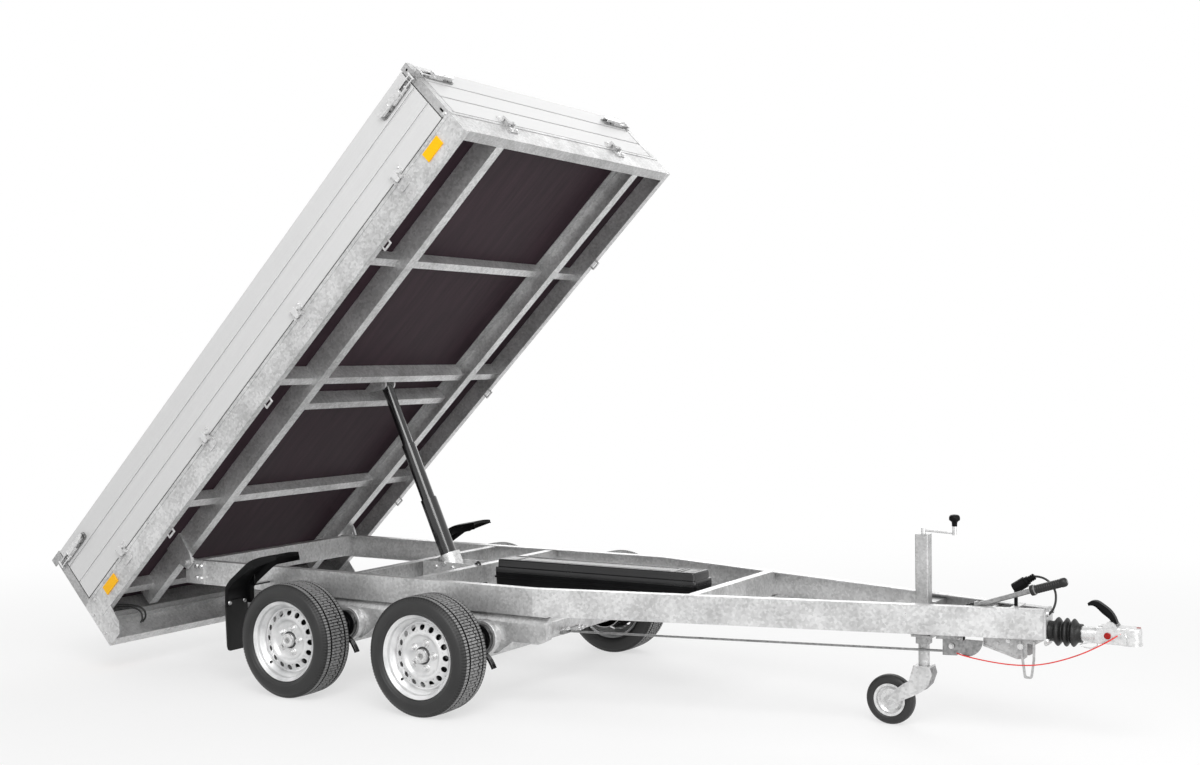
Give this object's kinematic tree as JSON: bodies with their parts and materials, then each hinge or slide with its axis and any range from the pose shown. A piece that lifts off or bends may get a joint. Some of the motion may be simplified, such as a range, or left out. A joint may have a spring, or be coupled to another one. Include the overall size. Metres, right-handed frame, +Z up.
{
  "type": "dump trailer",
  "caption": "Tandem-axle tipping trailer with a raised drop-side bed on a telescopic cylinder, a tapered drawbar, a jockey wheel and an overrun coupling.",
  "frame": {"origin": "centre of the outline on the ground", "axes": "+X forward to the coupling, +Y to the left side, +Z up from the ground"},
  "size_m": [5.1662, 1.848, 2.8189],
  "materials": {
    "galvanised_steel": "satin",
    "bright_zinc": "satin",
    "board_aluminium": "satin",
    "floor_plywood": "satin",
    "black_plastic": "satin",
    "black_steel": "gloss",
    "tyre_rubber": "matte",
    "soft_rubber": "matte",
    "wheel_silver": "satin",
    "lamp_red": "gloss",
    "amber_acrylic": "gloss",
    "cable_red": "gloss",
    "cable_black": "satin"
  },
  "bodies": {
    "chassis": {"chassis_rails": "galvanised_steel", "cross_members": "galvanised_steel", "pivot_brackets": "galvanised_steel", "axle_front": "galvanised_steel", "axle_rear": "galvanised_steel", "axle_carriers": "galvanised_steel", "mudguards": "black_plastic", "power_box": "black_plastic", "drawbar_head": "galvanised_steel", "drawbar_skirts": "galvanised_steel", "shackle_loop": "galvanised_steel", "handbrake": "bright_zinc", "brake_rod": "bright_zinc", "jockey_tube": "galvanised_steel", "jockey_crank": "bright_zinc", "plug": "black_plastic", "plug_cable": "cable_black", "breakaway_cable": "cable_red", "bellows": "soft_rubber"},
    "power_lid": {"power_lid": "black_plastic"},
    "jockey_leg": {"jockey_inner": "galvanised_steel"},
    "jockey_swivel": {"jockey_fork": "galvanised_steel"},
    "jockey_wheel": {"jockey_rim": "bright_zinc", "jockey_tyre": "tyre_rubber"},
    "coupling": {"coupling_head": "bright_zinc", "coupling_handle": "black_plastic"},
    "bed": {"bed_floor": "floor_plywood", "side_rails": "galvanised_steel", "end_rails": "galvanised_steel", "bed_beams": "galvanised_steel", "cross_bars": "galvanised_steel", "eye_bracket": "galvanised_steel", "rear_panel": "galvanised_steel", "tail_lamps": "lamp_red", "side_reflectors": "amber_acrylic", "corner_posts": "galvanised_steel"},
    "board_right": {"board_right": "board_aluminium"},
    "board_left": {"board_left": "board_aluminium"},
    "headboard": {"headboard": "board_aluminium"},
    "tailgate": {"tailgate": "board_aluminium"},
    "barrel": {"barrel": "bright_zinc"},
    "stage_one": {"stage_one": "black_steel"},
    "stage_two": {"stage_two": "black_steel"},
    "stage_three": {"stage_three": "black_steel"},
    "wheel_front_right": {"rim_fr": "wheel_silver", "tyre_fr": "tyre_rubber"},
    "wheel_rear_right": {"rim_rr": "wheel_silver", "tyre_rr": "tyre_rubber"},
    "wheel_front_left": {"rim_fl": "wheel_silver", "tyre_fl": "tyre_rubber"},
    "wheel_rear_left": {"rim_rl": "wheel_silver", "tyre_rl": "tyre_rubber"}
  },
  "joints": [
    {"name": "bed_tip", "type": "hinge", "parent": "chassis", "child": "bed", "pos_m": [-1.898, 0, 0.54], "axis": [0, -1, 0], "range_deg": [-44.4, 0]},
    {"name": "board_right_drop", "type": "hinge", "parent": "bed", "child": "board_right", "pos_m": [-1.16773, -0.915, 1.46508], "axis": [0.7145, 0, 0.6997], "range_deg": [0, 180]},
    {"name": "board_left_drop", "type": "hinge", "parent": "bed", "child": "board_left", "pos_m": [-1.16773, 0.915, 1.46508], "axis": [-0.7145, 0, -0.6997], "range_deg": [0, 180]},
    {"name": "headboard_drop", "type": "hinge", "parent": "bed", "child": "headboard", "pos_m": [-0.01386, 0, 2.59503], "axis": [0, 1, 0], "range_deg": [0, 110]},
    {"name": "tailgate_swing", "type": "hinge", "parent": "bed", "child": "tailgate", "pos_m": [-2.56351, 0, 0.53212], "axis": [0, 1, 0], "range_deg": [0, 100]},
    {"name": "barrel_swing", "type": "hinge", "parent": "chassis", "child": "barrel", "pos_m": [-0.713, 0, 0.535], "axis": [0, -1, 0], "range_deg": [-21.71, 0]},
    {"name": "stage_one_slide", "type": "slide", "parent": "barrel", "child": "stage_one", "axis": [-0.4153, 0, 0.9097], "range_m": [-0.2941, 0]},
    {"name": "stage_two_slide", "type": "slide", "parent": "stage_one", "child": "stage_two", "axis": [-0.4153, 0, 0.9097], "range_m": [-0.2941, 0]},
    {"name": "stage_three_slide", "type": "slide", "parent": "stage_two", "child": "stage_three", "axis": [-0.4153, 0, 0.9097], "range_m": [-0.2941, 0]},
    {"name": "wheel_front_right_spin", "type": "hinge", "parent": "chassis", "child": "wheel_front_right", "pos_m": [-0.238, -0.813, 0.2625], "axis": [0, 1, 0], "continuous": true},
    {"name": "wheel_rear_right_spin", "type": "hinge", "parent": "chassis", "child": "wheel_rear_right", "pos_m": [-1.008, -0.813, 0.2625], "axis": [0, 1, 0], "continuous": true},
    {"name": "wheel_front_left_spin", "type": "hinge", "parent": "chassis", "child": "wheel_front_left", "pos_m": [-0.238, 0.813, 0.2625], "axis": [0, 1, 0], "continuous": true},
    {"name": "wheel_rear_left_spin", "type": "hinge", "parent": "chassis", "child": "wheel_rear_left", "pos_m": [-1.008, 0.813, 0.2625], "axis": [0, 1, 0], "continuous": true},
    {"name": "jockey_slide", "type": "slide", "parent": "chassis", "child": "jockey_leg", "axis": [0, 0, 1], "range_m": [-0.15, 0.055]},
    {"name": "jockey_turn", "type": "hinge", "parent": "jockey_leg", "child": "jockey_swivel", "pos_m": [1.715, 0, 0.262], "axis": [0, 0, 1], "continuous": true},
    {"name": "jockey_roll", "type": "hinge", "parent": "jockey_swivel", "child": "jockey_wheel", "pos_m": [1.571, 0, 0.104], "axis": [0, 1, 0], "continuous": true},
    {"name": "overrun_slide", "type": "slide", "parent": "chassis", "child": "coupling", "axis": [1, 0, 0], "range_m": [-0.08, 0], "deforming": ["bellows"]},
    {"name": "power_lid_lift", "type": "hinge", "parent": "chassis", "child": "power_lid", "pos_m": [0.152, 0.094, 0.52], "axis": [-1, 0, 0], "range_deg": [0, 90]}
  ],
  "couplings": [
    {"joint": "barrel_swing", "follows": "bed_tip", "ratio": 0.4823},
    {"joint": "stage_one_slide", "follows": "bed_tip", "m_per_rad": 0.3782},
    {"joint": "stage_two_slide", "follows": "bed_tip", "m_per_rad": 0.3782},
    {"joint": "stage_three_slide", "follows": "bed_tip", "m_per_rad": 0.3782}
  ]
}
